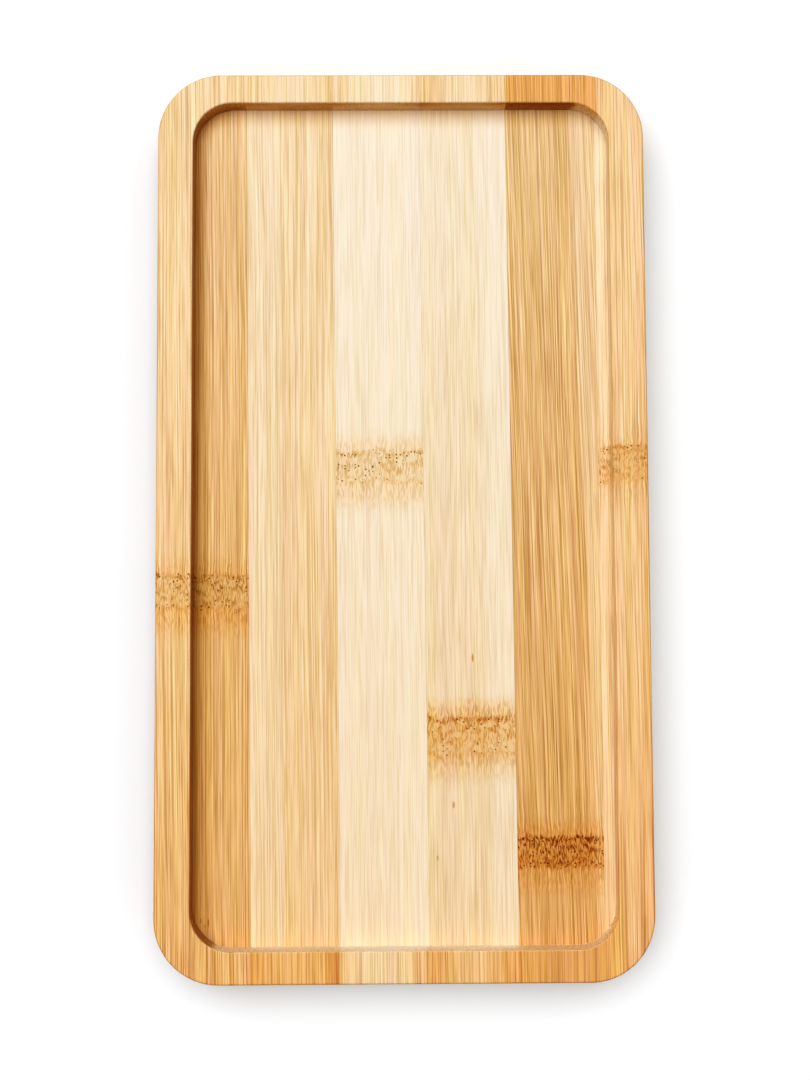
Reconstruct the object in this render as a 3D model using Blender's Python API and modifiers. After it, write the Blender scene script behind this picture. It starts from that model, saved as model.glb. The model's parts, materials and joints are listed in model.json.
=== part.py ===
"""A bamboo serving tray: a board pressed from two plies of bamboo strips, with rounded corners and a routed recess.

The whole board is first made as one guide shape, routed and eased. Each strip is a long slab between two glue
seams, and takes its final form where it meets that guide, so that the outline, the recess and the eased edges run
across the seams without a step.

Metres, +Z up. X runs across the strips, Y along them, and the origin is at the middle of the underside.
"""

import math

import bmesh
import bpy

MM = 0.001

# The board
WIDTH = 130.0 * MM
LENGTH = 240.0 * MM
CORNER_RADIUS = 17.0 * MM
OUTER_EASE = 0.8 * MM

# The plies, from the underside up
LOWER_PLY = 4.9 * MM
GLUE_LINE = 0.3 * MM
WOOD_UNDER_RECESS = 2.0 * MM

# The recess
RECESS_DEPTH = 4.8 * MM
SIDE_RIM = 9.3 * MM
FAR_RIM = 7.7 * MM
NEAR_RIM = 8.5 * MM
RECESS_RADIUS = 10.6 * MM
RECESS_EASE = 0.3 * MM

# The strips of one ply, across the board. The narrow strip is the one that was sawn to width, and its seam runs
# true to the board's side. The other seams drift sideways from the far end to the near end.
FIRST_STRIP = 23.9 * MM
NARROW_STRIP = 12.4 * MM
SEAM_DRIFT = 1.9 * MM

# How far a cutter or a slab runs past the board
OVERRUN = 5.0 * MM

# Facets of a quarter turn and of an eased edge, and the angles at which an edge counts as square and as sharp
CORNER_FACETS = 12
OUTER_EASE_FACETS = 3
RECESS_EASE_FACETS = 2
SQUARE_EDGE = math.radians(60)
SHARP_EDGE = math.radians(35)

# The tones of the upper strips from -X to +X, as linear red, green and blue
TONES = (
    ("tan_bamboo", (0.680, 0.400, 0.160)),
    ("honey_bamboo", (0.790, 0.530, 0.260)),
    ("cream_bamboo", (0.860, 0.660, 0.400)),
    ("pale_bamboo", (0.830, 0.610, 0.350)),
    ("amber_bamboo", (0.640, 0.350, 0.130)),
    ("golden_bamboo", (0.800, 0.520, 0.240)),
)
SANDED_ROUGHNESS = 0.55

STRIPS_PER_PLY = len(TONES)
UPPER_PLY_BASE = LOWER_PLY + GLUE_LINE
THICKNESS = UPPER_PLY_BASE + WOOD_UNDER_RECESS + RECESS_DEPTH


def clear_scene():
    """Empties the scene of whatever it holds."""
    for obj in list(bpy.data.objects):
        bpy.data.objects.remove(obj)


def new_collection(name):
    """A collection of the scene, with that name."""
    collection = bpy.data.collections.new(name)
    bpy.context.scene.collection.children.link(collection)
    return collection


def bamboo(name, colour):
    """Sanded, unvarnished bamboo of one tone. Strips of one tone share it."""
    material = bpy.data.materials.get(name)
    if material:
        return material
    material = bpy.data.materials.new(name)
    material.use_nodes = True
    shader = material.node_tree.nodes["Principled BSDF"]
    shader.inputs["Base Color"].default_value = (*colour, 1.0)
    shader.inputs["Roughness"].default_value = SANDED_ROUGHNESS
    shader.inputs["Metallic"].default_value = 0.0
    material.diffuse_color = (*colour, 1.0)
    return material


def as_object(bm, name, collection):
    """The object of a finished bmesh, in that collection."""
    mesh = bpy.data.meshes.new(name)
    bm.to_mesh(mesh)
    bm.free()
    obj = bpy.data.objects.new(name, mesh)
    collection.objects.link(obj)
    return obj


def as_guide(bm, name, collection):
    """A cutter or a guide, which shapes the strips and is no piece of the tray."""
    guide = as_object(bm, name, collection)
    guide.hide_render = True
    guide.display_type = "WIRE"
    return guide


def rounded_block(low, high, radius):
    """A box between two corners, with its four upright edges rounded."""
    bm = bmesh.new()
    bmesh.ops.create_cube(bm, size=1.0)
    for vertex in bm.verts:
        vertex.co = [high[axis] if vertex.co[axis] > 0 else low[axis] for axis in range(3)]
    upright = [edge for edge in bm.edges if edge.verts[0].co.xy == edge.verts[1].co.xy]
    bmesh.ops.bevel(bm, geom=upright, offset=radius, segments=CORNER_FACETS, profile=0.5, affect="EDGES")
    return bm


def add_ease(obj, name, width, facets):
    """Takes the sharpness off every edge that is still square, with a small round."""
    ease = obj.modifiers.new(name, "BEVEL")
    ease.width = width
    ease.segments = facets
    ease.limit_method = "ANGLE"
    ease.angle_limit = SQUARE_EDGE


def add_boolean(obj, other, operation):
    """Cuts the other object out of this one, or keeps what the two share."""
    boolean = obj.modifiers.new(other.name, "BOOLEAN")
    boolean.operation = operation
    boolean.object = other


def make_board_guide(guides):
    """The whole tray as one shape: the sawn outline with eased edges, and the recess that a router cleared."""
    bm = rounded_block((-WIDTH / 2, -LENGTH / 2, 0.0), (WIDTH / 2, LENGTH / 2, THICKNESS), CORNER_RADIUS)
    board = as_guide(bm, "board_guide", guides)
    recess_low = (-WIDTH / 2 + SIDE_RIM, -LENGTH / 2 + NEAR_RIM, THICKNESS - RECESS_DEPTH)
    recess_high = (WIDTH / 2 - SIDE_RIM, LENGTH / 2 - FAR_RIM, THICKNESS + OVERRUN)
    recess = as_guide(rounded_block(recess_low, recess_high, RECESS_RADIUS), "recess_cutter", guides)
    add_ease(board, "outer_ease", OUTER_EASE, OUTER_EASE_FACETS)
    add_boolean(board, recess, "DIFFERENCE")
    add_ease(board, "recess_ease", RECESS_EASE, RECESS_EASE_FACETS)
    return board


def upper_seam(number, y):
    """Where a glue seam of the upper ply lies across the board, at that place along it. Seam 1 is nearest -X."""
    first = -WIDTH / 2 + FIRST_STRIP
    last = WIDTH / 2 - NARROW_STRIP
    last_number = STRIPS_PER_PLY - 1
    if number == last_number:
        return last
    return first + (number - 1) * (last - first) / (last_number - 1) - SEAM_DRIFT * y / LENGTH


def lower_seam(number, y):
    """The lower ply is the same lay-up turned end for end, which keeps its seams away from the upper ones."""
    return -upper_seam(STRIPS_PER_PLY - number, -y)


def strip_sides(seam, number):
    """Two functions that give a strip's -X and +X side along the board, half a glue line back from its seams."""

    def left(y):
        return seam(number - 1, y) + GLUE_LINE / 2 if number > 1 else -WIDTH / 2 - OVERRUN

    def right(y):
        return seam(number, y) - GLUE_LINE / 2 if number < STRIPS_PER_PLY else WIDTH / 2 + OVERRUN

    return left, right


def strip_slab(left, right, bottom, top):
    """A slab between a strip's two sides, longer than the board."""
    bm = bmesh.new()
    bmesh.ops.create_cube(bm, size=1.0)
    for vertex in bm.verts:
        side = right if vertex.co.x > 0 else left
        y = math.copysign(LENGTH / 2 + OVERRUN, vertex.co.y)
        vertex.co = (side(y), y, top if vertex.co.z > 0 else bottom)
    return bm


def trim(strip, board):
    """Keeps the part of a slab that lies inside the board, with the strip's origin at its own middle."""
    add_boolean(strip, board, "INTERSECT")
    graph = bpy.context.evaluated_depsgraph_get()
    mesh = bpy.data.meshes.new_from_object(strip.evaluated_get(graph))
    strip.modifiers.clear()
    low = [min(vertex.co[axis] for vertex in mesh.vertices) for axis in range(3)]
    high = [max(vertex.co[axis] for vertex in mesh.vertices) for axis in range(3)]
    middle = [(low[axis] + high[axis]) / 2 for axis in range(3)]
    for vertex in mesh.vertices:
        vertex.co = [vertex.co[axis] - middle[axis] for axis in range(3)]
    mesh.shade_smooth()
    mesh.set_sharp_from_angle(angle=SHARP_EDGE)
    strip.data = mesh
    strip.location = middle


def make_ply(name, seam, bottom, top, tones, board, parts, origin):
    """One ply: its strips side by side from -X to +X, each trimmed to the board."""
    for number, tone in enumerate(tones, start=1):
        slab = strip_slab(*strip_sides(seam, number), bottom, top)
        strip = as_object(slab, f"{name}_strip_{number}", parts)
        trim(strip, board)
        strip.data.materials.append(bamboo(*tone))
        strip.parent = origin


def main():
    clear_scene()
    parts = new_collection("bamboo_serving_tray")
    guides = new_collection("cutters")
    origin = bpy.data.objects.new("tray_origin", None)
    parts.objects.link(origin)
    board = make_board_guide(guides)
    make_ply("lower", lower_seam, -OVERRUN, LOWER_PLY, TONES[::-1], board, parts, origin)
    make_ply("upper", upper_seam, UPPER_PLY_BASE, THICKNESS + OVERRUN, TONES, board, parts, origin)


main()
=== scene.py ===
"""A bamboo serving tray, dressed for its picture: two plies of sanded bamboo strips under one outline.

Laid out as an add-on and run as a script. The packed CAD model is the frame that the strips are fitted to,
and each strip stands for one CAD node. Metres, +Z up, X across the strips, Y along.
"""

import json
import math
from collections import namedtuple
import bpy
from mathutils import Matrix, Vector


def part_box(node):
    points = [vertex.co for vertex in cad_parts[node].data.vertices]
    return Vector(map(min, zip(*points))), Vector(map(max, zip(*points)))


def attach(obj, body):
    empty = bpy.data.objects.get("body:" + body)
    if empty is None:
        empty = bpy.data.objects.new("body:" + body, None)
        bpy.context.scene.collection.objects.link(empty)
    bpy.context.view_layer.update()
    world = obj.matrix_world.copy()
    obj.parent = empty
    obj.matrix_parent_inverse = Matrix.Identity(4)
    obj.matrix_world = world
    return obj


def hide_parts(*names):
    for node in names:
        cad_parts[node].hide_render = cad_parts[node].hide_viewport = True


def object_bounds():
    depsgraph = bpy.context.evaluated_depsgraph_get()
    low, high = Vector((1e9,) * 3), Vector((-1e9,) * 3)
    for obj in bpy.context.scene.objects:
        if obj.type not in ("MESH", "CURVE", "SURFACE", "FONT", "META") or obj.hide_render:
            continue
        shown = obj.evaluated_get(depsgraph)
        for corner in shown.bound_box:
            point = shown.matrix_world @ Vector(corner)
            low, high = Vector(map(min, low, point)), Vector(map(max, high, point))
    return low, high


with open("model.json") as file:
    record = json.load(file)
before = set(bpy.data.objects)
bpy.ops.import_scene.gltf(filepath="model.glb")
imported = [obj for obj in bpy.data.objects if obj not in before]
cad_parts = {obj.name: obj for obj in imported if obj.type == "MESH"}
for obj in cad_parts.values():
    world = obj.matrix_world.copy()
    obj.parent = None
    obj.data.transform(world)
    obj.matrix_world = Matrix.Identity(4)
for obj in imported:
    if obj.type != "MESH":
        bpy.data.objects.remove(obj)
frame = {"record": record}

from types import SimpleNamespace

import bmesh
import bpy
from bpy.props import FloatProperty, FloatVectorProperty, PointerProperty
from mathutils import Matrix, Vector, noise

bl_info = {
    "name": "Bamboo Serving Tray",
    "version": (1, 0, 0),
    "blender": (4, 5, 0),
    "location": "3D View > Sidebar > Tray",
    "description": "Builds a bamboo serving tray from its strips, and the stage that it is shown on",
    "category": "Object",
}

MM = 0.001
CAD_BOX = [list(corner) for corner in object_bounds()]
BODY = "root"
STRIPS_PER_PLY = 6
MOUNT_PLACES = {mount["name"]: mount["pos_m"] for mount in frame["record"]["mounts"]}
RECESS_FLOOR = MOUNT_PLACES["recess_floor"][2]


def seam_in_frame(ply, number):
    """Where a glue seam of the packed model lies at the tray's middle, and its drift from end to end."""
    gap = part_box("upper_strip_1")[0].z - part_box("lower_strip_1")[1].z
    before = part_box(f"{ply}_strip_{number}")[1].x
    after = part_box(f"{ply}_strip_{number + 1}")[0].x
    return (before + after) / 2, before - after + gap


SEAMS = {
    ply: [seam_in_frame(ply, number) for number in range(1, STRIPS_PER_PLY)] for ply in ("upper", "lower")
}
PLY_JOINT = (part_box("upper_strip_1")[0].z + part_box("lower_strip_1")[1].z) / 2

# How far a slab runs past the board that trims it
OVERRUN = 5.0 * MM

# Steps of the board's outline: in a rounded corner, along a side, along an end and over an eased edge
CORNER_STEPS = 26
SIDE_STEPS = 60
END_STEPS = 260
EASE_STEPS = 4

# The shading breaks at edges sharper than this, and larger faces set it elsewhere, by this weight
SHARP_EDGE = math.radians(40)
LARGE_FACE_WEIGHT = 90

# How far apart the strips lie in the random patterns, in millimetres
PATTERN_SHIFT = (37.3, 211.7, 19.1)

# The torn edge: how squarely the cutter crosses the grain where tearing starts, and the size of nicks and
# tufts across and along the grain, each with its slice of the noise
CLEAN_CUT_FACING = 0.25
NICK_SIZE = (0.55 * MM, 2.5 * MM, 2.7)
TUFT_SIZE = (2.4 * MM, 6.0 * MM, 8.1)

# The stage: the floor's reach and how far under the tray it lies, and the camera that the photograph's
# outline gives, with its turns in degrees
FLOOR_REACH = 4.0
FLOOR_DROP = 0.05 * MM
CAMERA_PLACE = (-0.00162, -0.0211, 0.3137)
CAMERA_TURNS = (("Z", -0.257), ("X", 3.015), ("Y", -0.40))
CAMERA_LENS = 38.33
CAMERA_SENSOR = 36.0

# Sizes and colours that a user would change


def length(label, text, default, low=0.0, high=1.0):
    """A property that holds a length in metres."""
    return FloatProperty(
        name=label, description=text, default=default, min=low, max=high,
        precision=5, subtype="DISTANCE", unit="LENGTH",
    )


def share(label, text, default, low=0.0, high=4.0):
    """A property that holds a plain number."""
    return FloatProperty(name=label, description=text, default=default, min=low, max=high, precision=3)


def colour(label, text, default):
    """A property that holds a linear colour."""
    return FloatVectorProperty(
        name=label, description=text, default=default, min=0.0, max=1.0, size=3, subtype="COLOR",
    )


class TrayShape(bpy.types.PropertyGroup):
    """The outline, the recess and the edges. The defaults are those of the packed model."""

    width: length("Width", "Across the strips", CAD_BOX[1][0] - CAD_BOX[0][0])
    length: length("Length", "Along the strips", CAD_BOX[1][1] - CAD_BOX[0][1])
    thickness: length("Thickness", "From the underside to the rim", CAD_BOX[1][2] - CAD_BOX[0][2])
    corner_radius: length("Corner radius", "Of the sawn outline", 17.0 * MM)
    outer_ease: length("Outer ease", "Rounding of the outer edges", 0.8 * MM)
    recess_floor: length("Recess floor", "Height over the underside", RECESS_FLOOR)
    side_rim: length("Side rims", "Width of the rim along both sides", 9.3 * MM)
    far_rim: length("Far rim", "Width of the rim at the far end", 7.7 * MM)
    near_rim: length("Near rim", "Width of the rim at the near end", 8.5 * MM)
    recess_radius: length("Recess radius", "Of the recess's corners", 10.6 * MM)
    recess_ease: length("Recess ease", "Rounding of the edge round the recess", 0.3 * MM)
    floor_cove: length("Floor cove", "Rounding at the foot of the wall", 0.25 * MM)
    tear_out: length("Tear-out", "How deep fibres broke away where the cutter crossed the grain", 0.2 * MM)
    glue_line: length("Glue line", "Gap that shows between two strips", 0.03 * MM)


class WoodColours(bpy.types.PropertyGroup):
    """The colours that every strip is mixed from."""

    straw: colour("Straw", "Wood of tone 1 in its yellower fibres", (0.941, 0.680, 0.340))
    rose: colour("Rose", "Wood of tone 1 in its pinker fibres", (0.934, 0.651, 0.387))
    fibre: colour("Fibre", "What a dark fibre multiplies the wood colour by", (0.757, 0.660, 0.480))
    # Open pores are real; the same colour also darkens the far and left walls as painted shade
    pore: colour("Open pores", "What an open pore or a charred wall multiplies it by", (0.24, 0.12, 0.04))
    # Painted shade: how deep a brown shade is painted on the recess's far and left walls, which face away
    # from the lamp, and on the floor at their foot
    burnish: share("Burnish", "How brown the cutter rubbed the far and left walls and their foot", 1.6)
    roughness: share("Roughness", "Of the sanded, unvarnished surface", 0.68, 0.0, 1.0)


# The range of a look's numbers, and a knot's place beyond the tray, where it doesn't show
LOOK_LIMIT = 600.0
NO_KNOT = 500.0

LOOK_FIELDS = {
    "rim_far": ("Rim tone, far end", "Of the uncut top of the strip", 1.1),
    "rim_near": ("Rim tone, near end", "Of the uncut top of the strip", 2.0),
    "rim_edges": ("Rim edge tone", "How much deeper it gets towards the strip's sides", 0.2),
    "floor_far": ("Floor tone, far end", "Of the strip in the recess", 1.0),
    "floor_near": ("Floor tone, near end", "Of the strip in the recess", 1.3),
    "split": ("Tone split", "Where the recess's tone changes, in millimetres", 0.0),
    "split_left": ("Left of the split", "Share of the recess's tone there", 1.0),
    "split_right": ("Right of the split", "Share of the recess's tone there", 1.0),
    "split_width": ("Split width", "How wide the change is, in millimetres", 2.0),
    "slant": ("Grain slant", "How far the fibres drift per unit of length, in the recess", 0.008),
    "rim_stripes": ("Rim stripes", "Strength of the fibres on the uncut top", 1.0),
    "floor_stripes": ("Floor stripes", "Strength of the fibres in the recess", 1.0),
    "dashes": ("Dashes", "How much of the fibre pattern in the recess is short dashes", 0.5),
    "knot": ("Knot place", "Where the knot band's middle lies, in millimetres", NO_KNOT),
    "knot_tone": ("Knot tone", "How much deeper the knot band is than the strip", 0.7),
    "knot_pores": ("Knot pores", "How many open pores the knot band has", 0.4),
    "knot_brown": ("Knot brown", "How strong its brown marks are", 0.8),
    "knot_reach": ("Knot reach", "Half the knot band's length, in millimetres", 4.5),
    "knot_fade": ("Knot fade", "How softly its near side ends, in millimetres", 0.3),
    "fringe_far": ("Knot fringe, far side", "How strong the dashes beyond it are", 0.2),
    "fringe_near": ("Knot fringe, near side", "How strong the dashes on that side are", 0.4),
    "brown": ("Brown share", "How much of the tone is brown rather than golden", 0.06),
}

# The upper strips from -X to +X, and the lower ones, which show at the tray's sides and underneath
STRIP_LOOKS = {
    "upper_strip_1": dict(
        rim_far=1.12, rim_near=2.1, rim_edges=0.05, rim_stripes=0.98,
        floor_far=1.42, floor_near=2.12, floor_stripes=0.85, dashes=0.35, brown=0.22,
        knot=-18.6, knot_reach=4.6, knot_tone=0.1, knot_brown=1.42, knot_pores=0.5,
        fringe_far=0.6, fringe_near=1.1,
    ),
    "upper_strip_2": dict(
        rim_far=0.95, rim_near=2.2, rim_edges=0.35, rim_stripes=0.78,
        floor_far=0.8, floor_near=1.27, floor_stripes=0.92, dashes=0.4, brown=0.1,
        split=-32.1, split_left=0.9, split_right=1.08, split_width=0.9,
    ),
    "upper_strip_3": dict(
        rim_far=0.84, rim_near=1.32, rim_edges=0.6,
        floor_far=0.43, floor_near=0.76, floor_stripes=0.64, dashes=0.7, brown=0.1,
        split=-3.0, split_left=1.02, split_right=0.98, split_width=6.0,
        knot=14.7, knot_reach=4.4, knot_tone=0.38, knot_brown=0.62, knot_pores=0.45,
        fringe_far=0.5, fringe_near=0.7,
    ),
    "upper_strip_4": dict(
        rim_far=1.08, rim_near=2.05, rim_edges=0.45, rim_stripes=0.8,
        floor_far=0.52, floor_near=1.02, floor_stripes=0.68, dashes=0.65, brown=0.2,
        split=22.0, split_left=1.06, split_right=0.82, split_width=3.0,
        knot=-56.6, knot_reach=4.9, knot_fade=3.2, knot_tone=1.0, knot_brown=0.9, knot_pores=0.45,
        fringe_far=1.3, fringe_near=0.85,
    ),
    "upper_strip_5": dict(
        rim_far=2.32, rim_near=2.55, rim_edges=0.0, rim_stripes=0.58,
        floor_far=1.5, floor_near=2.42, floor_stripes=0.88, dashes=0.35, brown=0.31, slant=0.026,
        split=48.6, split_left=1.03, split_right=0.71, split_width=2.2,
        knot=-87.2, knot_reach=4.1, knot_tone=1.0, knot_brown=2.75, knot_pores=0.8,
        fringe_far=1.0, fringe_near=0.9,
    ),
    "upper_strip_6": dict(
        rim_far=1.3, rim_near=2.1, rim_stripes=0.95,
        floor_far=0.74, floor_near=1.25, floor_stripes=1.1, dashes=0.4, brown=0.1,
        knot=14.7, knot_reach=4.9, knot_tone=0.35, knot_brown=1.0, knot_pores=0.3,
        fringe_far=0.3, fringe_near=0.35,
    ),
    "lower_strip_1": dict(rim_far=1.6, rim_near=1.6, floor_far=1.3, floor_near=1.7, knot=-62.0),
    "lower_strip_2": dict(
        rim_far=2.0, rim_near=2.0, floor_far=1.9, floor_near=1.8,
        knot=38.0, knot_tone=0.3, knot_brown=2.4, knot_pores=0.5,
    ),
    "lower_strip_3": dict(rim_far=1.2, rim_near=1.2, floor_far=1.3, floor_near=1.0, knot=-14.0),
    "lower_strip_4": dict(rim_far=0.9, rim_near=0.9, floor_far=0.9, floor_near=0.7, knot=71.0, knot_tone=0.6),
    "lower_strip_5": dict(rim_far=1.4, rim_near=1.4, floor_far=1.5, floor_near=1.2, knot=-83.0),
    "lower_strip_6": dict(
        rim_far=1.7, rim_near=1.7, floor_far=1.9, floor_near=1.5, knot=31.0, knot_pores=0.5,
    ),
}

# Single dark flecks of a strip: x, y, width and length in millimetres, and their depth of tone
FLECKS = {
    "upper_strip_1": (
        (-51.4, -105.2, 0.22, 1.1, 1.5), (-53.4, -104.6, 0.20, 0.7, 1.0), (-52.3, -106.0, 0.18, 0.5, 1.0),
    ),
    "upper_strip_4": (
        (18.4, -36.4, 0.26, 1.1, 1.6), (13.1, -75.0, 0.34, 0.9, 1.2), (8.8, -88.8, 0.26, 0.7, 0.9),
    ),
}


def strip_look(node, values):
    """A class of property group whose defaults are one strip's own looks."""
    fields = {}
    for key, (label, text, default) in LOOK_FIELDS.items():
        low = -LOOK_LIMIT if key in ("split", "knot") else 0.0
        fields[key] = share(label, text, values.get(key, default), low, LOOK_LIMIT)
    content = {"__doc__": f"The tones, fibres and knot of {node}.", "__annotations__": fields}
    return type(node.title().replace("_", "") + "Look", (bpy.types.PropertyGroup,), content)


STRIP_LOOK_CLASSES = {node: strip_look(node, values) for node, values in STRIP_LOOKS.items()}


class StageLook(bpy.types.PropertyGroup):
    """The floor, the lamp and the light from all round."""

    floor_colour: colour("Floor", "Colour of the floor", (0.905, 0.925, 0.942))
    # Painted light: the floor is bluer by the tray, to cancel the warm light that the tray bounces onto it
    floor_near: colour("Floor by the tray", "Evens out the tray's warm light on it", (0.873, 0.934, 0.980))
    floor_glow: share("Floor glow", "What the open floor adds so that it shows white", 0.16, 0.0, 1.0)
    # Painted shadow: within this reach the floor's glow is held back, so the floor shows darker round the
    # tray
    shadow_reach: length("Shadow reach", "How far out the tray's shadow shows in full", 24.0 * MM)
    near_reach: length("Near reach", "How far out the floor takes on its open colour", 9.0 * MM)
    fade_start: length("Fade start", "How far out the floor starts to fade to white", 0.15)
    fade_end: length("Fade end", "How far out the floor is all white", 0.9, 0.0, 4.0)
    lamp_light: share("Lamp light", "Share of full light that the lamp gives a level surface", 1.137)
    lamp_reach: length("Lamp distance", "From the tray to the lamp", 4.0, 0.1, 10.0)
    lamp_width: length("Lamp width", "Across the tray", 5.2, 0.01, 8.0)
    lamp_length: length("Lamp length", "Along the tray", 4.4, 0.01, 8.0)
    lamp_left: share("Lamp to the left", "How far to the left, per unit of height", 0.185, -3.0, 3.0)
    lamp_beyond: share("Lamp beyond", "How far beyond the far end, per unit of height", 0.34, -3.0, 3.0)
    fill_light: share("Fill light", "Share of full light that comes from all round", 0.22)


# Small helpers for node trees


class Field:
    """A value in a node tree. Arithmetic with fields and numbers adds the Math nodes that work it out."""

    def __init__(self, tree, socket):
        self.tree = tree
        self.socket = socket

    def math(self, operation, *others):
        """The result of a Math node that has this field as its first value."""
        node = self.tree.nodes.new("ShaderNodeMath")
        node.operation = operation
        plug_all(self.tree, (self, *others), node.inputs)
        return Field(self.tree, node.outputs[0])

    def __add__(self, other):
        return self.math("ADD", other)

    def __sub__(self, other):
        return self.math("SUBTRACT", other)

    def __mul__(self, other):
        return self.math("MULTIPLY", other)

    def __truediv__(self, other):
        return self.math("DIVIDE", other)

    def __abs__(self):
        return self.math("ABSOLUTE")

    __radd__ = __add__
    __rmul__ = __mul__

    def __rsub__(self, other):
        return self * -1.0 + other

    def power(self, exponent):
        return self.math("POWER", exponent)

    def at_least(self, low):
        return self.math("MAXIMUM", low)

    def smooth(self, start, end):
        """0 before start, 1 after end, a soft step between. It falls from 1 to 0 where end is the smaller."""
        node = self.tree.nodes.new("ShaderNodeMapRange")
        node.interpolation_type = "SMOOTHSTEP"
        plug_all(self.tree, (self, start, end), node.inputs)
        return Field(self.tree, node.outputs["Result"])

    def mix(self, low, high):
        """low where this field is 0, high where it is 1."""
        node = self.tree.nodes.new("ShaderNodeMix")
        node.clamp_factor = False
        plug_all(self.tree, (self, low, high), [node.inputs[index] for index in (0, 2, 3)])
        return Field(self.tree, node.outputs[0])


def plug(tree, value, socket):
    """Links a field or socket to an input, or sets a plain value on it."""
    if isinstance(value, Field):
        tree.links.new(value.socket, socket)
    elif isinstance(value, bpy.types.NodeSocket):
        tree.links.new(value, socket)
    else:
        socket.default_value = value


def plug_all(tree, values, sockets):
    for value, socket in zip(values, sockets):
        plug(tree, value, socket)


def point(tree, x, y, z):
    """A vector of three fields or numbers."""
    node = tree.nodes.new("ShaderNodeCombineXYZ")
    plug_all(tree, (x, y, z), node.inputs)
    return node.outputs[0]


def axes(tree, vector):
    """The three fields of a vector."""
    node = tree.nodes.new("ShaderNodeSeparateXYZ")
    plug(tree, vector, node.inputs[0])
    return [Field(tree, socket) for socket in node.outputs]


def cloud(tree, x, y, z, detail=0.0):
    """Smooth noise from 0 to 1, about 0.5 on average, with features about one unit across."""
    node = tree.nodes.new("ShaderNodeTexNoise")
    node.inputs["Scale"].default_value = 1.0
    node.inputs["Detail"].default_value = detail
    plug(tree, point(tree, x, y, z), node.inputs["Vector"])
    return Field(tree, node.outputs[0])


def cells(tree, x, y, feature="F1"):
    """Flat cells one unit across: how far their edge is, or their centre, with two random numbers."""
    node = tree.nodes.new("ShaderNodeTexVoronoi")
    node.voronoi_dimensions = "2D"
    node.feature = feature
    node.inputs["Scale"].default_value = 1.0
    plug(tree, point(tree, x, y, 0.0), node.inputs["Vector"])
    gap = Field(tree, node.outputs["Distance"])
    if feature != "F1":
        return gap
    split = tree.nodes.new("ShaderNodeSeparateColor")
    plug(tree, node.outputs["Color"], split.inputs[0])
    return gap, Field(tree, split.outputs[0]), Field(tree, split.outputs[1])


def paint_mix(tree, amount, first, second, blend="MIX"):
    """Two colours mixed, or multiplied, by a field or number."""
    node = tree.nodes.new("ShaderNodeMix")
    node.data_type = "RGBA"
    node.blend_type = blend
    plug_all(tree, (amount, first, second), [node.inputs[index] for index in (0, 6, 7)])
    return node.outputs[2]


def new_group(name, kind, inputs, outputs):
    """An empty node group and its two end nodes."""
    group = bpy.data.node_groups.new(name, kind)
    for direction, sockets in (("INPUT", inputs), ("OUTPUT", outputs)):
        for label, socket_type in sockets:
            group.interface.new_socket(label, in_out=direction, socket_type=socket_type)
    return group, group.nodes.new("NodeGroupInput"), group.nodes.new("NodeGroupOutput")


# Bamboo, with places and distances in millimetres

# A random pattern: how large its features are across the grain, along it and downwards, where in the noise
# it starts, how much finer detail it has, and the values between which it is a soft step
Pattern = namedtuple(
    "Pattern", "across along down start_across start_along detail step", defaults=(0.0, 0.0, 0.0, None),
)
PATTERNS = {
    "drift": Pattern(7.0, 80.0, 6.0),
    "bend": Pattern(1.8, 5.5, 2.5),
    "long hair": Pattern(0.27, 60.0, 0.6),
    "long thread": Pattern(0.42, 110.0, 0.6, 50.0),
    "short hair": Pattern(0.26, 13.0, 0.6, 20.0),
    "short thread": Pattern(0.40, 24.0, 0.6, 70.0),
    "stripe": Pattern(0.85, 130.0, 1.0, detail=1.0, step=(0.34, 0.66)),
    "band": Pattern(3.0, 190.0, 4.0, detail=1.0),
    "hue": Pattern(1.3, 120.0, 1.3, 9.0, detail=1.0, step=(0.3, 0.7)),
    "lean": Pattern(1.3, 9.0, 2.0, 20.0, step=(0.38, 0.62)),
    "sway": Pattern(1.1, 2.2, 2.0, start_along=40.0),
    "fur": Pattern(0.29, 1.5, 0.6, step=(0.41, 0.61)),
    "blotch": Pattern(2.6, 2.3, 3.0, start_along=5.0, detail=1.0, step=(0.34, 0.70)),
    "dashes": Pattern(0.30, 2.2, 0.6, 60.0, step=(0.46, 0.62)),
    "pale dashes": Pattern(0.34, 1.9, 0.6, 80.0, step=(0.52, 0.64)),
}
DARK_HAIR = (0.54, 0.68)
PALE_HAIR = (0.46, 0.31)

# How much the fibres drift, bend near a knot and slant on the rim, and how far from a knot the bend begins
DRIFT = 1.4
BEND = 0.9
BEND_REACH = (13.0, 5.5)
RIM_SLANT = 0.008

# Soft steps over the way that a surface faces, as its direction's share along one axis
END_GRAIN_FACING = (0.25, 0.9)
SIDE_FACING = (0.6, 0.8)
# Painted shade on the eased top edge of the outline
WORN_TOP_FACING = (0.96, 0.75)
WORN_SIDE_FACING = (0.05, 0.4)
# Painted light on the recess's near wall, which faces the lamp
FRESH_WALL_FACING = (0.3, 0.9)
FAR_WALL_FACING = (-0.5, -0.9)

# Painted shade on the left and far walls, which face away from the lamp: its step, how much facing the near
# end adds, and how far below the rim it starts
BURNISHED_FACING = (0.02, 0.30)
BURNISHED_TURN = 0.32
BURNISHED_BELOW_RIM = (-0.15, 0.35)

# Where the recess's look ends on its wall and on the rim, and how softly
WALL_BLEND = 0.4 * MM
RIM_SHARE = 0.9
RIM_BLEND = 0.5

# Painted shadow on the floor at the foot of the far and left walls: how far from the wall it fades in, and
# how strong it is. By the left wall a narrow part lies over a wide one, which reaches further out at the near
# end
FAR_FOOT = (6.5, -0.6)
FAR_FOOT_SHARE = 0.22
NARROW_FOOT = (2.2, 0.2)
NARROW_FOOT_SHARE = 0.9
WIDE_FOOT_START = (4.4, 6.6)
WIDE_FOOT_FULL = (1.4, 2.4)
WIDE_FOOT_SHARE = 0.52

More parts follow.
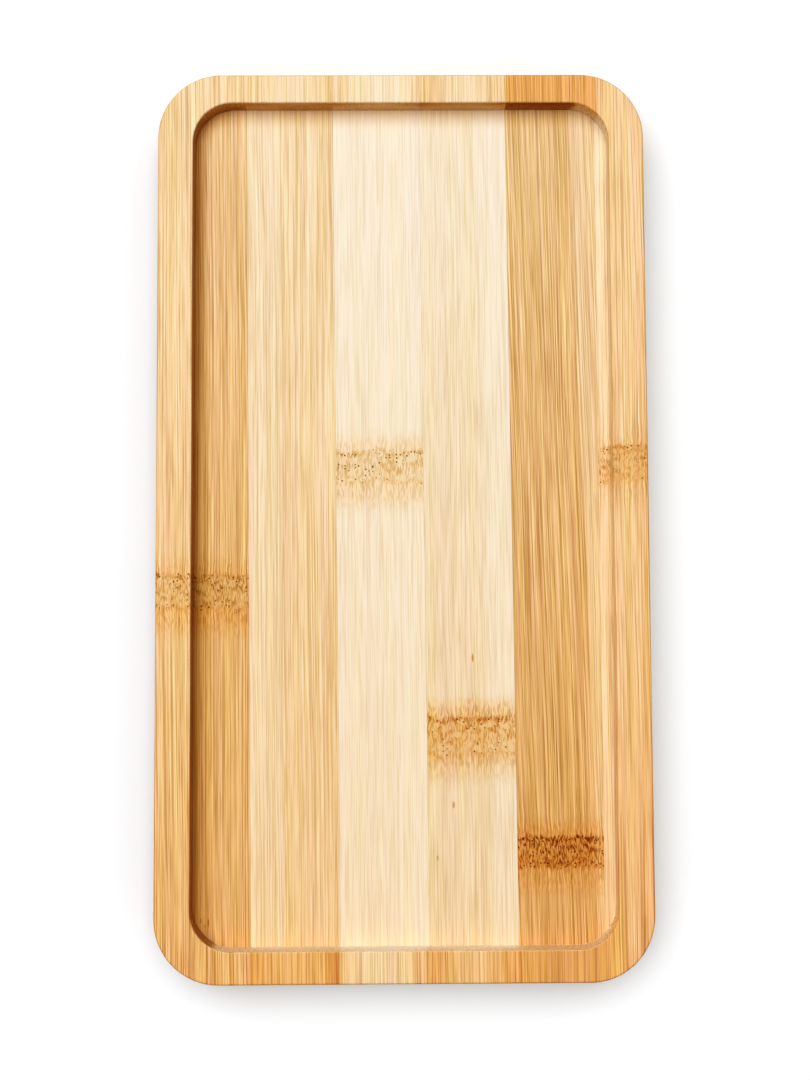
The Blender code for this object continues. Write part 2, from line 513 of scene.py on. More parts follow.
# How far the knot band's ends wander and fray, where its fringes fade in and out past them, how wide its rows
# of pores are, and how far apart its flakes and pores lie across and along the grain
KNOT_WANDER = 2.0
KNOT_FRAY = 1.6
FRINGE_START = (-1.4, 0.2)
FAR_FRINGE_END = (6.5, 0.0)
NEAR_FRINGE_END = (10.0, 0.0)
ROW_WIDTH = (1.1, 0.3)
FLAKE_CELL = (0.62, 2.3)
PORE_CELL = (0.92, 0.95)

# The finish
FLECK_EDGE = (1.6, 0.1)
PALEST_PAINT = (0.98, 0.98, 0.98, 1.0)
ROUGHEST = 0.95
BUMP_STRENGTH = 0.6
BUMP_HEIGHT = 0.06 * MM
GLOSS = 0.06

# What the bamboo group takes besides a strip's look: where the board's forms lie, and three plain numbers
BOARD_INPUTS = (
    "rim_height", "floor_height", "half_length", "strip_middle", "half_width", "recess_reach_x",
    "recess_reach_y", "corner_x", "corner_y", "corner_radius", "burnish", "fleck", "roughness",
)
GROUP_INPUTS = {
    **{key: label for key, (label, _, _) in LOOK_FIELDS.items()},
    **{key: key.replace("_", " ").capitalize() for key in BOARD_INPUTS},
}
PAINTS = ("Straw", "Rose", "Fibre", "Pore")


def surface_fields(tree, given):
    """Where a point of the surface lies, which way it faces, and what follows from that."""
    place = tree.nodes.new("ShaderNodeTexCoord")
    x, y, z = (part / MM for part in axes(tree, place.outputs["Object"]))
    here = SimpleNamespace(x=x, y=y, z=z, facing=axes(tree, place.outputs["Normal"]))
    face_x, face_y, face_z = here.facing
    here.in_recess = abs(x).smooth(given.recess_reach_x + RIM_BLEND, given.recess_reach_x)
    here.in_recess *= abs(y).smooth(given.recess_reach_y + RIM_BLEND, given.recess_reach_y)
    here.cut = z.smooth(given.rim_height, given.floor_height)
    here.along = 0.5 + y * -0.5 / given.half_length
    here.across_grain = x + here.cut.mix(RIM_SLANT, given.slant) * y
    here.end_grain = abs(face_y).smooth(*END_GRAIN_FACING)
    here.side_face = abs(face_x).smooth(*SIDE_FACING)
    # Painted shade: the eased top edge of the outline is darker, whichever way it faces
    here.worn_edge = face_z.smooth(*WORN_TOP_FACING) * face_z.smooth(*WORN_SIDE_FACING)
    here.worn_edge *= 1.0 - here.in_recess
    return here


def wall_fields(given, here):
    """The recess's walls: which are fresh or burnished, and where the floor at their foot is rubbed."""
    wall = SimpleNamespace()
    face_x, face_y, _ = here.facing
    corner_x = (given.corner_x - here.x).at_least(0.0)
    corner_y = (here.y - given.corner_y).at_least(0.0)
    gap = given.corner_radius - (corner_x * corner_x + corner_y * corner_y).math("SQRT")
    wall.sideways_on = corner_x / (corner_x + corner_y + 0.01)
    # Painted shade on the recess's left and far walls, which face away from the lamp
    wall.burnished = (face_x - face_y * BURNISHED_TURN).smooth(*BURNISHED_FACING)
    wall.burnished *= here.in_recess * (given.rim_height - here.z).smooth(*BURNISHED_BELOW_RIM)
    # Painted shadow on the floor at the foot of the far and left walls, reaching further out by the left wall
    # at the near end
    wide_foot = gap.smooth(here.along.mix(*WIDE_FOOT_START), here.along.mix(*WIDE_FOOT_FULL))
    left_foot = gap.smooth(*NARROW_FOOT) * NARROW_FOOT_SHARE + wide_foot * WIDE_FOOT_SHARE
    wall.rubbed = wall.sideways_on.mix(gap.smooth(*FAR_FOOT) * FAR_FOOT_SHARE, left_foot)
    wall.rubbed *= here.cut * (1.0 - wall.burnished)
    # Painted light: the near wall, which faces the lamp, is made paler
    wall.fresh_cut = face_y.smooth(*FRESH_WALL_FACING) * here.in_recess
    wall.across_far = face_y.smooth(*FAR_WALL_FACING)
    return wall


def knot_fields(tree, given, here):
    """Where the knot band lies: how far a point is from its middle and past its ragged far and near edges."""
    wander = (cloud(tree, here.x / 3.0, 3.7, here.z / 5.0) - 0.5) * KNOT_WANDER
    fray = (cloud(tree, here.x / 0.45, 9.2, here.z / 0.6) - 0.5) * KNOT_FRAY
    line = here.y - given.knot + (wander + fray)
    gap = abs(line)
    past_far = line - given.knot_reach
    past_near = line * -1.0 - given.knot_reach
    near_side = past_near.smooth(given.knot_fade + 0.4, given.knot_fade * -1.0 - 0.6)
    inside = past_far.smooth(0.6, -0.8) * near_side
    return SimpleNamespace(line=line, gap=gap, past_far=past_far, past_near=past_near, inside=inside)


def grain_fields(tree, here, knot, offset):
    """The strip's own place in the random patterns, with the fibres' drift and their bend near a knot."""
    shift_x, shift_y, shift_z = axes(tree, offset)
    grain = SimpleNamespace(
        tree=tree, x=here.across_grain + shift_x, y=here.y + shift_y, z=here.z + shift_z,
    )
    near_knot = knot.gap.smooth(*BEND_REACH) * (1.0 - knot.inside)
    grain.drift = (pattern(grain, "drift", grain.x) - 0.5) * DRIFT
    bend = (pattern(grain, "bend", grain.x) - 0.5) * BEND * near_knot
    grain.fibre_x = grain.x + grain.drift + bend
    return grain


def pattern(grain, name, x):
    """A random pattern from 0 to 1. x is the place across the grain, pushed aside where needed."""
    size = PATTERNS[name]
    across = x / size.across + size.start_across
    along = grain.y / size.along + size.start_along
    value = cloud(grain.tree, across, along, grain.z / size.down, size.detail)
    return value.smooth(*size.step) if size.step else value


def hairs(grain, name):
    """Hair-thin fibres: dark ones above 0 and pale ones below it."""
    line = pattern(grain, name, grain.fibre_x)
    return line.smooth(*DARK_HAIR) * 0.84 - line.smooth(*PALE_HAIR) * 0.42 - 0.07


def fibre_fields(given, here, grain):
    """The strength of the fibres, long or in dashes, and of wider stripes and bands under them."""
    long_hairs = hairs(grain, "long hair") * 1.25 + hairs(grain, "long thread") * 0.3
    short_hairs = hairs(grain, "short hair") * 1.25 + hairs(grain, "short thread") * 0.25
    on_rim = (long_hairs * 0.65 + short_hairs * 0.35) * given.rim_stripes
    on_floor = given.dashes.mix(long_hairs, short_hairs) * given.floor_stripes
    stripe = pattern(grain, "stripe", grain.fibre_x) - 0.5
    band = pattern(grain, "band", grain.fibre_x) - 0.5
    bands = (stripe * 0.05 + band * 0.06) * here.cut.mix(given.rim_stripes, given.floor_stripes)
    calmer = here.along.smooth(0.40, 0.75).mix(1.0, 0.84)
    return here.cut.mix(on_rim, on_floor) * calmer, bands * calmer


def strip_tone(given, here, grain):
    """The strip's own tone, on the uncut rim and in the recess, and the share of it that is brown."""
    rim_deepening = here.along.at_least(0.0).power(2.3)
    sideways = (here.x - given.strip_middle) / given.half_width
    rim_edges = 1.0 + given.rim_edges * (sideways * sideways - 0.33)
    rim_tone = rim_deepening.mix(given.rim_far, given.rim_near) * rim_edges
    past_split = here.across_grain - given.split + grain.drift * 0.4
    split_side = (past_split / given.split_width + 0.5).smooth(0.0, 1.0)
    floor_tone = here.along.mix(given.floor_far, given.floor_near)
    floor_tone *= split_side.mix(given.split_left, given.split_right)
    brown_share = given.brown * here.cut.mix(rim_deepening.mix(0.35, 0.55), 1.0)
    return here.cut.mix(rim_tone, floor_tone), brown_share


def knot_marks(given, here, knot, grain):
    """A band of short brown marks around pale flakes, with pores and fringes at its edges."""
    tree = grain.tree
    lean = pattern(grain, "lean", grain.x) - 0.5
    sway = (pattern(grain, "sway", grain.x) - 0.5) * 0.3
    pore_x = here.side_face.mix(grain.x, grain.z + 31.0) + sway
    knot_x = pore_x + lean * knot.line * knot.gap * 0.08
    flare = lean * (knot.past_far.at_least(0.0) - knot.past_near.at_least(0.0)) * 0.16
    dashes = pattern(grain, "dashes", grain.fibre_x + flare)
    far_fringe = knot.past_far.smooth(*FRINGE_START) * knot.past_far.smooth(*FAR_FRINGE_END)
    near_fringe = knot.past_near.smooth(*FRINGE_START) * knot.past_near.smooth(*NEAR_FRINGE_END)
    fringe = (far_fringe * given.fringe_far + near_fringe * given.fringe_near) * 0.55
    far_row = abs(knot.past_far + 0.5).smooth(*ROW_WIDTH)
    near_row = abs(knot.past_near + 0.6).smooth(*ROW_WIDTH) * given.knot_fade.smooth(2.6, 0.4)

    fur = pattern(grain, "fur", knot_x)
    flake = cells(tree, knot_x / FLAKE_CELL[0], grain.y / FLAKE_CELL[1], "DISTANCE_TO_EDGE")
    blotch = pattern(grain, "blotch", grain.x)
    dark = fur * 1.5 + blotch * 0.7 + (far_row + near_row * 0.5) * dashes * 0.45
    pale_dashes = pattern(grain, "pale dashes", knot_x) * 0.55
    marks = dark - flake.smooth(0.06, 0.30) * 0.25 * far_row.mix(1.0, 0.3) - pale_dashes - 0.50
    marks = marks.at_least(0.0) * (knot.line / given.knot_reach).smooth(-1.3, 0.6).mix(0.62, 1.12)

    pore_gap, pore_chance, pore_size = cells(tree, pore_x / PORE_CELL[0] + 3.0, grain.y / PORE_CELL[1])
    crowd = given.knot_pores * (far_row * 0.7 + near_row * 0.4 + knot.inside * 0.25)
    pore = (pore_gap + pore_size * 0.12).smooth(0.36, 0.13) * (pore_chance - crowd).smooth(0.0, -0.03)
    return SimpleNamespace(dashes=dashes, fringe=fringe, fur=fur, blotch=blotch, marks=marks, pore=pore)


def bamboo_group():
    """The look of sanded bamboo as one node group, with the numbers of a strip's look as its inputs.

    A tone is a depth of colour: the wood colour lies over itself that many times. Fibres, knots and flecks
    change it, and open pores and charred walls darken it further.
    """
    found = bpy.data.node_groups.get("bamboo")
    if found:
        return found
    inputs = [(label, "NodeSocketFloat") for label in GROUP_INPUTS.values()]
    inputs += [(name, "NodeSocketColor") for name in PAINTS]
    inputs.append(("Pattern offset", "NodeSocketVector"))
    outputs = [("Color", "NodeSocketColor"), ("Roughness", "NodeSocketFloat"), ("Height", "NodeSocketFloat")]
    tree, start, end = new_group("bamboo", "ShaderNodeTree", inputs, outputs)
    given = SimpleNamespace(**{key: Field(tree, start.outputs[label]) for key, label in GROUP_INPUTS.items()})
    here = surface_fields(tree, given)
    wall = wall_fields(given, here)
    knot = knot_fields(tree, given, here)
    grain = grain_fields(tree, here, knot, start.outputs["Pattern offset"])
    hair, bands = fibre_fields(given, here, grain)
    own_tone, brown_share = strip_tone(given, here, grain)
    band = knot_marks(given, here, knot, grain)

    # Painted light lightens the near wall's tone
    own_tone *= 1.0 + bands - wall.fresh_cut * 0.45
    knot_tone = given.knot_tone * (0.7 + band.marks * 0.4) + band.blotch * given.knot_brown * 0.22
    # The tone also takes the painted shade of the eased top edge
    tone = own_tone + knot.inside * knot_tone + band.fringe + given.fleck * 0.4 + here.worn_edge * 0.5
    tone += here.end_grain * (1.0 - here.in_recess) * 0.45
    # Painted shade deepens the tone of the far and left walls, and painted shadow that of the floor at their
    # foot
    wall_tone = wall.burnished * wall.across_far.mix(0.45, 0.92)
    tone += given.burnish * (wall_tone + wall.rubbed * wall.sideways_on.mix(1.3, 0.28))
    knot_brown = knot.inside * given.knot_brown * band.marks * here.cut.mix(0.75, 1.0)
    brown = own_tone * (hair * (1.0 - knot.inside * 0.6) + brown_share) + knot_brown
    other_brown = band.fringe * (band.dashes * 1.7 - 0.30) + given.fleck
    # The painted shadow at the walls' foot and the painted shade on the eased top edge also add brown
    brown += other_brown + given.burnish * wall.rubbed * wall.sideways_on + here.worn_edge * 0.5
    # Painted shade: the far and left walls are darkened further with the pore colour
    charred = wall.across_far.mix(0.34, own_tone * 0.22 - 0.12).at_least(0.0)
    charred = given.burnish * wall.burnished * charred

    hue = pattern(grain, "hue", grain.fibre_x) * (1.0 - knot.inside * 0.3)
    wood = paint_mix(tree, hue, start.outputs["Straw"], start.outputs["Rose"])
    layers = (
        (wood, (tone - own_tone * brown_share).at_least(0.05)),
        (start.outputs["Fibre"], brown),
        (start.outputs["Pore"], band.pore + charred),
    )
    plug(tree, layered(tree, layers), end.inputs["Color"])
    rough = given.roughness + hair * -0.08 + band.pore * 0.2 + here.end_grain * 0.12
    plug(tree, rough.math("MINIMUM", ROUGHEST), end.inputs["Roughness"])
    furrows = hair * -0.35 - band.pore * 1.6 - knot.inside * band.fur * 0.3
    plug(tree, furrows + here.end_grain * band.dashes * 0.8, end.inputs["Height"])
    return tree


def layered(tree, layers):
    """Paints laid over one another, each as many times as its depth says, and never quite white."""
    films = []
    for paint, depth in layers:
        node = tree.nodes.new("ShaderNodeGamma")
        plug(tree, paint, node.inputs["Color"])
        plug(tree, depth, node.inputs["Gamma"])
        films.append(node.outputs[0])
    result = films[0]
    for film in films[1:]:
        result = paint_mix(tree, 1.0, result, film, "MULTIPLY")
    return paint_mix(tree, 1.0, result, PALEST_PAINT, "DARKEN")


def fleck_field(tree, flecks):
    """The tone that single flecks add: a soft spot each, longer along the grain than across it."""
    place = tree.nodes.new("ShaderNodeTexCoord")
    x, y, _ = (part / MM for part in axes(tree, place.outputs["Object"]))
    total = None
    for at_x, at_y, width, long, depth in flecks:
        side = (x - at_x) / width
        end = (y - at_y) / long
        spot = (side * side + end * end).smooth(*FLECK_EDGE) * depth
        total = spot if total is None else total + spot
    return total


def board_inputs(tray, middle, half_width):
    """Where the board's forms lie, in millimetres, as the bamboo group takes them."""
    sizes = {
        "rim_height": tray.thickness - WALL_BLEND,
        "floor_height": tray.recess_floor + WALL_BLEND,
        "half_length": tray.length / 2,
        "strip_middle": middle,
        "half_width": half_width,
        "recess_reach_x": tray.width / 2 - tray.side_rim * RIM_SHARE,
        "recess_reach_y": tray.length / 2 - tray.far_rim * RIM_SHARE,
        "corner_x": tray.side_rim + tray.recess_radius - tray.width / 2,
        "corner_y": tray.length / 2 - tray.far_rim - tray.recess_radius,
        "corner_radius": tray.recess_radius,
    }
    return {key: size / MM for key, size in sizes.items()}


def bamboo(node, number, middle, half_width):
    """The material of one strip."""
    material = bpy.data.materials.new(f"{node}_bamboo")
    material.use_nodes = True
    tree = material.node_tree
    group = tree.nodes.new("ShaderNodeGroup")
    group.node_tree = bamboo_group()
    look = getattr(bpy.context.scene, f"{node}_look")
    wood = bpy.context.scene.wood_colours
    values = {key: getattr(look, key) for key in LOOK_FIELDS}
    values.update(board_inputs(bpy.context.scene.tray_shape, middle, half_width))
    values.update(burnish=wood.burnish, roughness=wood.roughness)
    for key, value in values.items():
        group.inputs[GROUP_INPUTS[key]].default_value = value
    for name in PAINTS:
        group.inputs[name].default_value = (*getattr(wood, name.lower()), 1.0)
    group.inputs["Pattern offset"].default_value = [shift * number for shift in PATTERN_SHIFT]
    if node in FLECKS:
        plug(tree, fleck_field(tree, FLECKS[node]), group.inputs["Fleck"])
    bump = tree.nodes.new("ShaderNodeBump")
    bump.inputs["Strength"].default_value = BUMP_STRENGTH
    bump.inputs["Distance"].default_value = BUMP_HEIGHT
    shader = tree.nodes["Principled BSDF"]
    plug(tree, group.outputs["Height"], bump.inputs["Height"])
    plug(tree, group.outputs["Color"], shader.inputs["Base Color"])
    plug(tree, group.outputs["Roughness"], shader.inputs["Roughness"])
    plug(tree, bump.outputs[0], shader.inputs["Normal"])
    shader.inputs["Specular IOR Level"].default_value = GLOSS
    return material


# The board that the strips are trimmed to


def outline(low, high, radius):
    """A rounded rectangle, anticlockwise from the near left corner: each point and the way that it faces."""
    points = []
    corners = (
        ((low[0] + radius, low[1] + radius), 180, END_STEPS, (high[0] - radius, low[1])),
        ((high[0] - radius, low[1] + radius), 270, SIDE_STEPS, (high[0], high[1] - radius)),
        ((high[0] - radius, high[1] - radius), 0, END_STEPS, (low[0] + radius, high[1])),
        ((low[0] + radius, high[1] - radius), 90, SIDE_STEPS, (low[0], low[1] + radius)),
    )
    for (x, y), first, steps, target in corners:
        for step in range(CORNER_STEPS + 1):
            angle = math.radians(first + 90 * step / CORNER_STEPS)
            out = Vector((math.cos(angle), math.sin(angle)))
            points.append((Vector((x, y)) + out * radius, out))
        begin = points[-1][0]
        for step in range(1, steps):
            points.append((begin.lerp(Vector(target), step / steps), points[-1][1]))
    return points


def random_at(place, across, along, slice_height):
    """Smooth noise about 0 at a place of the outline, with features of that size across and along it."""
    return noise.noise(Vector((place.x / across, place.y / along, slice_height)))


def ragged(place, out, tear_out):
    """How far the edge is torn back, in short nicks, most where the cutter crossed the grain."""
    across = max(0.0, abs(out.y) - CLEAN_CUT_FACING) / (1.0 - CLEAN_CUT_FACING)
    nick = random_at(place, *NICK_SIZE)
    tuft = random_at(place, *TUFT_SIZE)
    return tear_out * across * (0.15 + 1.2 * max(0.0, nick - 0.05) + 0.5 * max(0.0, tuft))


def board_rings(tray):
    """The outlines that skin the board, from the underside up, over the rim and down to the recess floor."""
    half = Vector((tray.width / 2, tray.length / 2))
    sawn = outline(-half, half, tray.corner_radius)
    low = Vector((-half.x + tray.side_rim, -half.y + tray.near_rim))
    high = Vector((half.x - tray.side_rim, half.y - tray.far_rim))
    routed = outline(low, high, tray.recess_radius)
    top, ease, soft, cove = tray.thickness, tray.outer_ease, tray.recess_ease, tray.floor_cove
    quarter = [math.radians(90 * step / EASE_STEPS) for step in range(EASE_STEPS + 1)]
    rings = []

    def ring(points, inset, height, torn=0.0):
        places = []
        for place, out in points:
            tear = ragged(place, out, tray.tear_out) * torn if torn else 0.0
            places.append(Vector((*(place - out * (inset + tear)), height)))
        rings.append(places)

    for angle in quarter:
        ring(sawn, ease * (1 - math.sin(angle)), ease * (1 - math.cos(angle)))
    for index, angle in enumerate(quarter):
        ring(sawn, ease * (1 - math.cos(angle)), top - ease * (1 - math.sin(angle)), 0.5 * index / EASE_STEPS)
    for index, angle in enumerate(quarter):
        torn = -1.0 + 0.9 * index / EASE_STEPS
        ring(routed, -soft * (1 - math.sin(angle)), top - soft * (1 - math.cos(angle)), torn)
    for angle in quarter:
        ring(routed, cove * (1 - math.cos(angle)), tray.recess_floor + cove * (1 - math.sin(angle)))
    return rings


def new_object(name, data):
    """An object of the scene, with that mesh, light or camera."""
    obj = bpy.data.objects.new(name, data)
    bpy.context.scene.collection.objects.link(obj)
    return obj


def finished(name, bm):
    """The object of a finished bmesh."""
    mesh = bpy.data.meshes.new(name)
    bm.to_mesh(mesh)
    bm.free()
    return new_object(name, mesh)


def make_board_guide(tray):
    """The whole tray as one closed shape, which trims the strips and doesn't stay in the scene."""
    bm = bmesh.new()
    rings = [[bm.verts.new(place) for place in ring] for ring in board_rings(tray)]
    for below, above in zip(rings, rings[1:]):
        for index in range(len(below)):
            following = (index + 1) % len(below)
            bm.faces.new((below[index], below[following], above[following], above[index]))
    bm.faces.new(reversed(rings[0]))
    bm.faces.new(rings[-1])
    bmesh.ops.recalc_face_normals(bm, faces=bm.faces)
    bmesh.ops.triangulate(bm, faces=[face for face in bm.faces if len(face.verts) > 4])
    return finished("board_guide", bm)


# Strips

STRIP_SIZES = (
    "Left side, far end", "Left side, near end", "Right side, far end", "Right side, near end",
    "Bottom", "Top", "Half length",
)


def slab_nodes(tree, size):
    """A slab between two glue seams."""
    cube = tree.nodes.new("GeometryNodeMeshCube")
    place = tree.nodes.new("GeometryNodeInputPosition")
    right, far, up = (part + 0.5 for part in axes(tree, place.outputs[0]))
    left_side = far.mix(size["Left side, near end"], size["Left side, far end"])
    right_side = far.mix(size["Right side, near end"], size["Right side, far end"])
    along = (far * 2.0 - 1.0) * size["Half length"]
    slab = tree.nodes.new("GeometryNodeSetPosition")
    plug(tree, cube.outputs["Mesh"], slab.inputs["Geometry"])
    corner = point(tree, right.mix(left_side, right_side), along, up.mix(size["Bottom"], size["Top"]))
    plug(tree, corner, slab.inputs["Position"])
    return slab.outputs[0]


def smoothed_nodes(tree, mesh, sharp_angle):
    """A mesh that is shaded smooth but for its sharp edges."""
    angle = tree.nodes.new("GeometryNodeInputMeshEdgeAngle")
    faces = tree.nodes.new("GeometryNodeSetShadeSmooth")
    faces.domain = "FACE"
    edges = tree.nodes.new("GeometryNodeSetShadeSmooth")
    edges.domain = "EDGE"
    is_soft = Field(tree, angle.outputs["Unsigned Angle"]).math("LESS_THAN", sharp_angle)
    plug(tree, is_soft, edges.inputs["Shade Smooth"])
    plug(tree, mesh, faces.inputs["Geometry"])
    plug(tree, faces.outputs[0], edges.inputs["Geometry"])
    return edges.outputs[0]


def strip_tree():
    """Geometry nodes that saw a slab between two glue seams and keep what lies inside the board."""
    found = bpy.data.node_groups.get("bamboo_strip")
    if found:
        return found
    shape = [("Geometry", "NodeSocketGeometry")]
    inputs = [("Board", "NodeSocketObject"), ("Wood", "NodeSocketMaterial")]
    inputs += [(name, "NodeSocketFloat") for name in ("Sharp angle", *STRIP_SIZES)]
    tree, start, end = new_group("bamboo_strip", "GeometryNodeTree", shape + inputs, shape)
    size = {name: Field(tree, start.outputs[name]) for name in STRIP_SIZES}
    board = tree.nodes.new("GeometryNodeObjectInfo")
    plug(tree, start.outputs["Board"], board.inputs["Object"])
    trim = tree.nodes.new("GeometryNodeMeshBoolean")
    trim.operation = "INTERSECT"
    trim.solver = "MANIFOLD"
    plug(tree, slab_nodes(tree, size), trim.inputs["Mesh 2"])
    plug(tree, board.outputs["Geometry"], trim.inputs["Mesh 2"])
    smoothed = smoothed_nodes(tree, trim.outputs["Mesh"], start.outputs["Sharp angle"])
    wood = tree.nodes.new("GeometryNodeSetMaterial")
    plug(tree, smoothed, wood.inputs["Geometry"])
    plug(tree, start.outputs["Wood"], wood.inputs["Material"])
    plug(tree, wood.outputs[0], end.inputs[0])
    return tree


def set_inputs(modifier, values):
    """Sets a geometry nodes modifier's inputs by their names."""
    for item in modifier.node_group.interface.items_tree:
        if item.in_out == "INPUT" and item.name in values:
            modifier[item.identifier] = values[item.name]


def strip_sides(ply, number, tray):
    """Where a strip's two sides lie at the far and the near end of a slab that runs past the board."""
    reach = tray.length / 2 + OVERRUN
    stretch = tray.width / (CAD_BOX[1][0] - CAD_BOX[0][0])

    def seam(index, y, back):
        if index in (0, STRIPS_PER_PLY):
            return (tray.width / 2 + OVERRUN) * (1 if index else -1)
        middle, drift = SEAMS[ply][index - 1]
        return (middle - drift * y / tray.length) * stretch + back * tray.glue_line / 2

    left = (seam(number - 1, reach, 1), seam(number - 1, -reach, 1))
    right = (seam(number, reach, -1), seam(number, -reach, -1))
    return left, right, reach


def trimmed_strip(name, guide, wood, sizes):
    """One strip as a plain mesh: its slab trimmed to the board and evenly shaded."""
    maker = new_object(f"{name}_maker", bpy.data.meshes.new(f"{name}_maker"))
    trim = maker.modifiers.new("strip", "NODES")
    trim.node_group = strip_tree()
    set_inputs(trim, {"Board": guide, "Wood": wood, "Sharp angle": SHARP_EDGE, **sizes})
    even = maker.modifiers.new("even_shading", "WEIGHTED_NORMAL")
    even.keep_sharp = True
    even.weight = LARGE_FACE_WEIGHT
    graph = bpy.context.evaluated_depsgraph_get()
    mesh = bpy.data.meshes.new_from_object(maker.evaluated_get(graph))
    bpy.data.objects.remove(maker)
    if not mesh.polygons:
        raise RuntimeError(f"{name} came out empty: the board guide or the seams are wrong")
    mesh.name = name
    return new_object(name, mesh)


def make_ply(ply, bottom, top):
    """One ply of strips, each trimmed to the board and put in its CAD node's place."""
    tray = bpy.context.scene.tray_shape
    guide = make_board_guide(tray)
    half = tray.width / 2
    for number in range(1, STRIPS_PER_PLY + 1):
        node = f"{ply}_strip_{number}"
        left, right, reach = strip_sides(ply, number, tray)
        edges = [max(-half, min(half, sum(side) / 2)) for side in (left, right)]
        seed = number if ply == "upper" else number + STRIPS_PER_PLY
        wood = bamboo(node, seed, sum(edges) / 2, (edges[1] - edges[0]) / 2)
        sizes = dict(zip(STRIP_SIZES, (*left, *right, bottom, top, reach)))
        strip = trimmed_strip(f"{node}_dressed", guide, wood, sizes)
        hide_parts(node)
        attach(strip, BODY)
    bpy.data.objects.remove(guide)


# Stage


def seen_directly(tree):
    """1 for the rays that show a surface as it is: the camera's, and those of gloss and glass."""
    path = tree.nodes.new("ShaderNodeLightPath")
    total = Field(tree, path.outputs["Is Camera Ray"])
    for kind in ("Is Glossy Ray", "Is Transmission Ray"):
        total = total.math("MAXIMUM", Field(tree, path.outputs[kind]))
    return total


def white_floor(look, tray):
    """The floor's material: white for the camera, and plain close by, to keep the tray's shadow."""
    material = bpy.data.materials.new("white_floor")
    material.use_nodes = True
    tree = material.node_tree
    tree.nodes.clear()
    place = tree.nodes.new("ShaderNodeTexCoord")
    x, y, _ = axes(tree, place.outputs["Object"])
    turn = tray.corner_radius * 2
    beside = (abs(x) - (tray.width / 2 - turn)).at_least(0.0)
    beyond = (abs(y) - (tray.length / 2 - turn)).at_least(0.0)
    away = (beside * beside + beyond * beyond).math("SQRT") - turn
    # Painted shadow: no glow by the tray, rising to full glow at the shadow's reach
    own_light = away.smooth(0.0, look.shadow_reach) * look.floor_glow
    own_light += away.smooth(look.fade_start, look.fade_end)
    # The floor by the tray is painted bluer against the tray's warm bounce light
    near_and_open = ((*look.floor_near, 1.0), (*look.floor_colour, 1.0))
    paper = tree.nodes.new("ShaderNodeBsdfDiffuse")
    plug(tree, paint_mix(tree, away.smooth(0.0, look.near_reach), *near_and_open), paper.inputs["Color"])
    glow = tree.nodes.new("ShaderNodeEmission")
    plug(tree, seen_directly(tree) * own_light, glow.inputs["Strength"])
    both = tree.nodes.new("ShaderNodeAddShader")
    plug(tree, paper.outputs[0], both.inputs[0])
    plug(tree, glow.outputs[0], both.inputs[1])
    out = tree.nodes.new("ShaderNodeOutputMaterial")
    plug(tree, both.outputs[0], out.inputs["Surface"])
    return material


def make_floor(look):
    """A plain floor, a hair's breadth under the tray, that keeps its shadow."""
    bm = bmesh.new()
    bmesh.ops.create_grid(bm, x_segments=1, y_segments=1, size=FLOOR_REACH)
    bm.transform(Matrix.Translation((0.0, 0.0, -FLOOR_DROP)))
    floor = finished("floor", bm)
    floor.data.materials.append(white_floor(look, bpy.context.scene.tray_shape))


def make_lamp(look):
    """One large soft lamp beyond the far left corner."""
    away = Vector((-look.lamp_left, look.lamp_beyond, 1.0)).normalized()
    across = (Vector((1.0, 0.0, 0.0)) - away * away.x).normalized()
    data = bpy.data.lights.new("soft_lamp", "AREA")
    data.shape = "RECTANGLE"
    data.size = look.lamp_width
    data.size_y = look.lamp_length
    data.energy = look.lamp_light * math.pi**2 * look.lamp_reach**2 / away.z
    lamp = new_object("soft_lamp", data)
    lamp.location = away * look.lamp_reach
    lamp.rotation_mode = "QUATERNION"
    lamp.rotation_quaternion = Matrix((across, away.cross(across), away)).transposed().to_quaternion()


def make_fill(look):
    """Even light from all round, which the camera sees as white."""
    world = bpy.data.worlds.new("studio")
    world.use_nodes = True
    tree = world.node_tree
    background = tree.nodes["Background"]
    background.inputs["Color"].default_value = (1.0, 1.0, 1.0, 1.0)
    plug(tree, seen_directly(tree).mix(look.fill_light, 1.0), background.inputs["Strength"])
    bpy.context.scene.world = world


def make_camera():
    """The camera that saw the tray: almost straight above it, a little nearer the near end."""
    data = bpy.data.cameras.new("camera")
    data.lens = CAMERA_LENS
    data.sensor_width = CAMERA_SENSOR
    camera = new_object("camera", data)
    turn = Matrix.Identity(3)
    for axis, degrees in CAMERA_TURNS:
        turn = turn @ Matrix.Rotation(math.radians(degrees), 3, axis)
    camera.matrix_world = Matrix.Translation(CAMERA_PLACE) @ turn.to_4x4()
    bpy.context.scene.camera = camera


# Operators and panel


class TRAY_OT_lower_ply(bpy.types.Operator):
    """Make the six lower strips, which carry the tray"""

    bl_idname = "tray.lower_ply"
    bl_label = "Lower strips"
    bl_options = {"REGISTER", "UNDO"}

    def execute(self, context):
        make_ply("lower", -OVERRUN, PLY_JOINT - context.scene.tray_shape.glue_line / 2)
        return {"FINISHED"}


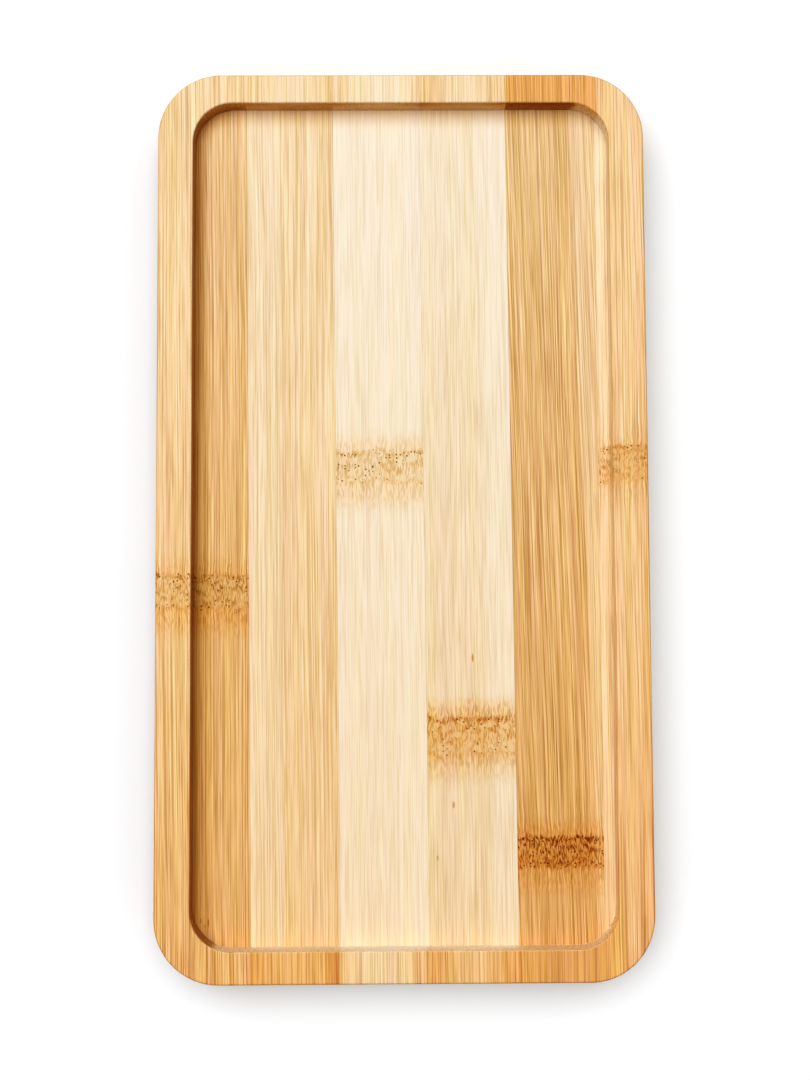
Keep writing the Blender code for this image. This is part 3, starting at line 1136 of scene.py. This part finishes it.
class TRAY_OT_upper_ply(bpy.types.Operator):
    """Make the six upper strips, with the rim and the routed recess"""

    bl_idname = "tray.upper_ply"
    bl_label = "Upper strips"
    bl_options = {"REGISTER", "UNDO"}

    def execute(self, context):
        tray = context.scene.tray_shape
        make_ply("upper", PLY_JOINT + tray.glue_line / 2, tray.thickness + OVERRUN)
        return {"FINISHED"}


class TRAY_OT_stage(bpy.types.Operator):
    """Set up the floor, the light and the camera"""

    bl_idname = "tray.stage"
    bl_label = "Floor, light and camera"
    bl_options = {"REGISTER", "UNDO"}

    def execute(self, context):
        look = context.scene.stage_look
        make_floor(look)
        make_lamp(look)
        make_fill(look)
        make_camera()
        context.scene.view_settings.view_transform = "Standard"
        return {"FINISHED"}


class TRAY_PT_panel(bpy.types.Panel):
    """The tray's operators and settings"""

    bl_label = "Bamboo Serving Tray"
    bl_space_type = "VIEW_3D"
    bl_region_type = "UI"
    bl_category = "Tray"

    def draw(self, context):
        for operator in OPERATORS:
            self.layout.operator(operator.bl_idname)
        for name in SETTINGS:
            box = self.layout.box()
            box.label(text=name.replace("_", " ").capitalize())
            group = getattr(context.scene, name)
            for key in group.bl_rna.properties.keys():
                if key not in ("rna_type", "name"):
                    box.prop(group, key)


OPERATORS = (TRAY_OT_lower_ply, TRAY_OT_upper_ply, TRAY_OT_stage)
SETTINGS = {
    "tray_shape": TrayShape,
    "wood_colours": WoodColours,
    **{f"{node}_look": group for node, group in STRIP_LOOK_CLASSES.items()},
    "stage_look": StageLook,
}


def register():
    for name, group in SETTINGS.items():
        bpy.utils.register_class(group)
        setattr(bpy.types.Scene, name, PointerProperty(type=group))
    for item in (*OPERATORS, TRAY_PT_panel):
        bpy.utils.register_class(item)


def unregister():
    for item in (TRAY_PT_panel, *reversed(OPERATORS)):
        bpy.utils.unregister_class(item)
    for name, group in reversed(SETTINGS.items()):
        delattr(bpy.types.Scene, name)
        bpy.utils.unregister_class(group)


def main():
    register()
    bpy.ops.tray.lower_ply()
    bpy.ops.tray.upper_ply()
    bpy.ops.tray.stage()


if __name__ == "__main__":
    main()
